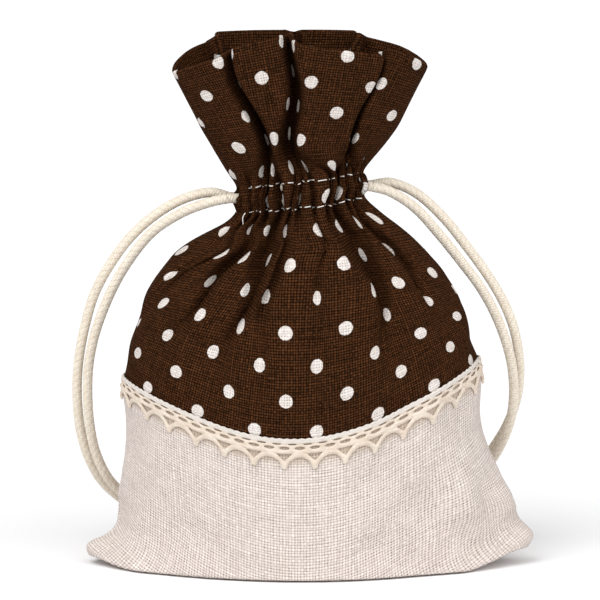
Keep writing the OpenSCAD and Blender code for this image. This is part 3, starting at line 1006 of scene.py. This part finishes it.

# %% [markdown]
# ### Linen
# A plain weave: threads go over and under each other, every 0.97 mm in the plain linen and
# every 0.86 mm in the dotted one. The first is a measured spacing. The second is given,
# because the dotted cloth looked too coarse with the first. Linen threads are uneven, so their
# places wander a little and some are thicker or lighter than others. Where four threads meet
# is a small hole, and a loose weave shows it dark. Real threads would be too many to model, so
# they are a pattern on the cloth's own map.

# %% Weave, and the plain linen
PLAIN_PITCH = 0.97     # between two threads
DOTTED_PITCH = 0.86


def weave(finish, pitch):
    """Fields of a plain weave of threads a pitch apart, in mm: height, hole (1 in one), how
    light each thread is, fuzz, and the place they are read at. Each way, a thread is half a
    sine wave, and the product of the two says which is on top."""
    along, up = finish.cloth_map()
    place = finish.join(along, up)
    wander_a = finish.noise(finish.join(along * 0.05, up * 0.5), 1.0) - 0.5
    wander_b = finish.noise(finish.join(along * 0.5, up * 0.05, 7.0), 1.0) - 0.5
    a = along / pitch + wander_b * 0.9
    b = up / pitch + wander_a * 0.9
    warp, weft = (a * math.pi).sin(), (b * math.pi).sin()
    over = warp * weft
    height = warp.abs() * (over * 0.42 + 0.58) + weft.abs() * (0.58 - over * 0.42)
    thick = finish.noise(place, 0.35, 3.0)
    hole = 1 - warp.abs().most(weft.abs()).step(0.16, 0.52)
    open_here = hole * thick.step(0.34, 0.62)
    slub_a = finish.noise(finish.join(a.floor() * 3.7, up * 0.12), 1.0, 3.0)
    slub_b = finish.noise(finish.join(along * 0.12, b.floor() * 3.7, 3.0), 1.0, 3.0)
    on_top = over.step(-0.4, 0.4)
    light = on_top * slub_a + (1 - on_top) * slub_b
    fuzz = finish.noise(place, 4.0, 3.0, 0.7)
    return height, open_here, light, fuzz, place


def natural_linen():
    """Pale threads, and a tan tint below the join: painted shade under the lace, with the brown
    allowance showing through.
    """
    finish = Finish("natural_linen", 0.9, specular=0.1)
    height, hole, light, fuzz, place = weave(finish, PLAIN_PITCH)
    speck = finish.noise(place, 1.1, 2.0, 0.6)
    thread = finish.mix((light * 0.6 + speck * 0.5).step(0.3, 0.8),
                        srgb(204, 192, 185), srgb(243, 233, 227))
    # Painted shade: the weave's grooves, where the threads lie low, are painted darker.
    groove = finish.mix((1 - height.step(0.5, 1.0)) * 0.55, thread, srgb(170, 156, 146))
    # Painted shade: the holes between the threads are painted dark, for the unlit inside of the
    # sack seen through them.
    colour = finish.mix(hole * 0.95, groove, srgb(98, 84, 72))
    up = finish.cloth_map()[1]
    # Painted shade under the lace, with the brown allowance showing through: a tan tint over the
    # top of the plain cloth.
    shade_and_allowance = finish.mix(up.step(JOIN_V - 10, JOIN_V - 5) * 0.5, colour, srgb(176, 152, 120))
    return finish.done(shade_and_allowance, height * 0.8 + fuzz * 0.2 - hole, 0.00035, 0.8)


finishes = {"natural_linen": natural_linen()}
print("plain linen nodes:", len(finishes["natural_linen"].node_tree.nodes))

# %% [markdown]
# ### Dots
# The brown cloth is printed with white dots, in rows, and every other row is half a step
# along. A dot is where the distance to the nearest middle is small. Its edge is a little
# ragged, as print on a rough weave is, and the weave shows through it.

# %% Dotted linen
DOT_ROW = 10.2         # between two rows of dots
DOT_PITCH = 20.0       # between two dots in a row
DOT_R = 2.15
DOT_FIRST = (69.6, JOIN_V + 2.5)


def dotted_linen():
    """Brown threads, with dots on two grids of points, one half a step from the other."""
    finish = Finish("dotted_linen", 0.95, specular=0.02)
    height, hole, light, fuzz, place = weave(finish, DOTTED_PITCH)
    along, up = finish.cloth_map()

    def to_dot(shift_u, shift_v):
        x = (along - (DOT_FIRST[0] + shift_u)).wrap(DOT_PITCH / 2, -DOT_PITCH / 2)
        y = (up - (DOT_FIRST[1] + shift_v)).wrap(DOT_ROW, -DOT_ROW)
        return (x * x + y * y).root()

    away = to_dot(0, 0).least(to_dot(DOT_PITCH / 2, DOT_ROW))
    ragged = away + (finish.noise(place, 0.8, 2.0) - 0.5) * 0.5
    dot = 1 - ragged.step(DOT_R - 0.12, DOT_R + 0.12)
    speck = finish.noise(place, 1.1, 2.0, 0.6)
    brown = finish.mix((light * 0.55 + speck * 0.6).step(0.35, 0.85),
                       srgb(38, 21, 10), srgb(99, 61, 36))
    fibre = finish.mix(fuzz.step(0.6, 0.8) * 0.3, brown, srgb(128, 86, 54))
    # Painted shade: the weave's grooves, where the threads lie low, are painted nearly black.
    groove = finish.mix((1 - height.step(0.5, 1.05)) * 0.9, fibre, srgb(22, 11, 4))
    # Painted shade: the holes between the threads are painted nearly black, for the unlit inside of
    # the sack seen through them.
    ground = finish.mix(hole, groove, srgb(6, 3, 1))
    white = finish.mix(light.step(0.3, 0.7), srgb(206, 197, 190), srgb(228, 221, 216))
    # Painted shade: the holes in the weave under each dot are painted dark, for the unlit inside
    # seen through them.
    dot_with_shaded_holes = finish.mix(hole * 0.9, white, srgb(84, 66, 54))
    colour = finish.mix(dot, ground, dot_with_shaded_holes)
    return finish.done(colour, height * 0.8 + fuzz * 0.25 - hole, 0.00035, 0.8)


finishes["dotted_linen"] = dotted_linen()
print("dotted linen nodes:", len(finishes["dotted_linen"].node_tree.nodes))


# %% [markdown]
# ### Cotton
# Lace, cord and thread are cotton yarn. Its fibres twist round it, which shows as fine slanting
# lines, and stray ones make its surface dull and a little fuzzy. Each line is a sine of the
# place along the yarn and round it, so it winds as the yarn does.

# %% Cotton
THREAD_TURN_MM = 0.5   # along the sewing thread, for one turn of its twist


def lace_cotton():
    """Two sets of fine slanting yarns that cross, in cream, with a whiter edge at the top."""
    finish = Finish("lace_cotton", 0.85, specular=0.15)
    along, down = finish.cloth_map()
    place = finish.join(along, down)
    wander = finish.noise(place, 0.9, 2.0) * 2.2
    one = ((along + down) * (math.pi / 0.36) + wander).sin().abs()
    two = ((along - down) * (math.pi / 0.36) + wander).sin().abs()
    yarn = one.most(two)
    tone = finish.noise(place, 0.3, 3.0)
    cotton = finish.mix(tone.step(0.3, 0.7), srgb(238, 221, 203), srgb(250, 237, 222))
    header = finish.mix(1 - down.step(1.2, 2.2), cotton, srgb(236, 229, 222))
    # Painted shade: the gaps between the crossing yarns, where they lie low, are painted darker.
    colour = finish.mix((1 - yarn.step(0.35, 0.95)) * 0.45, header, srgb(214, 190, 166))
    return finish.done(colour, yarn + finish.noise(place, 3.5, 3.0) * 0.6, 0.0003, 0.8)


def cotton_cord():
    """Three strands with painted shade in the grooves between them, and fibres that run along the
    strands.
    """
    finish = Finish("cotton_cord", 0.8, specular=0.2)
    along, turn = finish.cloth_map()
    angle = turn * (2 * math.pi)
    lay = ((along * (2 * math.pi / TURN_MM)) * 3 - angle * 3) * 0.5
    groove = lay.sin().abs()
    fibre = finish.noise(finish.join(along * 0.25 - turn * 1.5, turn * 26.0), 1.0, 4.0, 0.6)
    fine = (along * (2 * math.pi / 0.9) + angle * 4 + fibre * 3).sin()
    cotton = finish.mix(fibre.step(0.3, 0.7), srgb(224, 212, 194), srgb(244, 235, 220))
    # Painted shade: the grooves between the strands are painted darker.
    soft = finish.mix(groove.step(0.85, 1.0) * 0.2, cotton, srgb(186, 168, 142))
    colour = finish.mix(fine.step(0.3, 1.0) * 0.14, soft, srgb(190, 172, 146))
    height = fine * 0.35 + fibre * 1.4 - groove.step(0.8, 1.0) * 0.5
    return finish.done(colour, height, 0.00025, 0.7)


def sewing_thread():
    """White thread with a fine twist."""
    finish = Finish("sewing_thread", 0.6, specular=0.3)
    along, turn = finish.cloth_map()
    twist = (along * (2 * math.pi / THREAD_TURN_MM) + turn * (2 * math.pi)).sin()
    tone = finish.noise(finish.join(along, turn), 1.5, 2.0)
    white = finish.mix(tone.step(0.3, 0.7), srgb(232, 226, 218), srgb(252, 250, 246))
    colour = finish.mix(twist.step(0.2, 1.0) * 0.3, white, srgb(190, 180, 168))
    return finish.done(colour, twist, 0.0001, 0.6)


finishes["lace_cotton"] = lace_cotton()
finishes["cotton_cord"] = cotton_cord()
finishes["sewing_thread"] = sewing_thread()
print("finishes:", list(finishes))

# %% [markdown]
# ## Dressing the sack
# Each piece takes one finish. Everything that is sewn rides on the sack, while the free
# strands and knots move with their loops.

# %% Finishes on the pieces


def dress(piece, slot):
    """Gives a piece its finish."""
    piece.data.materials.clear()
    piece.data.materials.append(finishes[slot])


for side in SIDES:
    dress(lower[side], "natural_linen")
    dress(upper[side], "dotted_linen")
    dress(laces[side], "lace_cotton")
    dress(channel_stitches[side], "sewing_thread")
    dress(lace_stitches[side], "sewing_thread")
for name, piece in seams.items():
    dress(piece, "natural_linen" if name == "bottom" else "dotted_linen")
for piece in (*strands.values(), *cord_ends.values(), *cord_rings.values(), *knots.values()):
    dress(piece, "cotton_cord")

# %% Everything sewn rides on the sack
for piece in (*lower.values(), *upper.values(), *laces.values(), *channel_stitches.values(),
              *lace_stitches.values(), *seams.values()):
    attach(piece, "sack")
print("sheets:", [piece.name for piece in (*lower.values(), *upper.values())])

# %% [markdown]
# ## The studio
# A pale table and a bright, even surround give the soft light of a catalogue picture. With the
# surround alone the folds don't show, so it is held down, and one large lamp from the upper
# left shapes them. A weaker one from the right opens the shade.

# %% Table and light
TABLE_SIZE = 16000.0
SURROUND = 0.48        # the strength of the light from all round


def table_top():
    """A square far wider than the picture, so none of its edges shows."""
    h = TABLE_SIZE / 2
    corners = np.array([(-h, -h, 0), (h, -h, 0), (h, h, 0), (-h, h, 0)])
    piece = mesh_from("table_top", corners, [(0, 1, 2, 3)])
    finish = Finish("white_table", 0.7, specular=0.5)
    finish.shader.inputs["Base Color"].default_value = (0.93, 0.93, 0.94, 1)
    piece.data.materials.append(finish.material)
    return piece


def lamp(name, place, spread, strength):
    """A far, soft lamp that shines from place towards the origin."""
    data = bpy.data.lights.new(name, "SUN")
    data.energy, data.angle = strength, math.radians(spread)
    return place_in_scene(name, data, place, (0, 0, 0))


table_top()
world = bpy.data.worlds.new("surround")
world.use_nodes = True
world.node_tree.nodes["Background"].inputs["Color"].default_value = (1.0, 1.0, 1.0, 1)
world.node_tree.nodes["Background"].inputs["Strength"].default_value = SURROUND
bpy.context.scene.world = world
bpy.context.scene.view_settings.view_transform = "Standard"
lamps = [lamp("key_lamp", (-0.9, -1.2, 1.9), 45, 2.1),
         lamp("fill_lamp", (1.1, -1.1, 1.2), 60, 1.2)]
print("lamps:", {piece.name: round(piece.data.energy, 1) for piece in lamps})
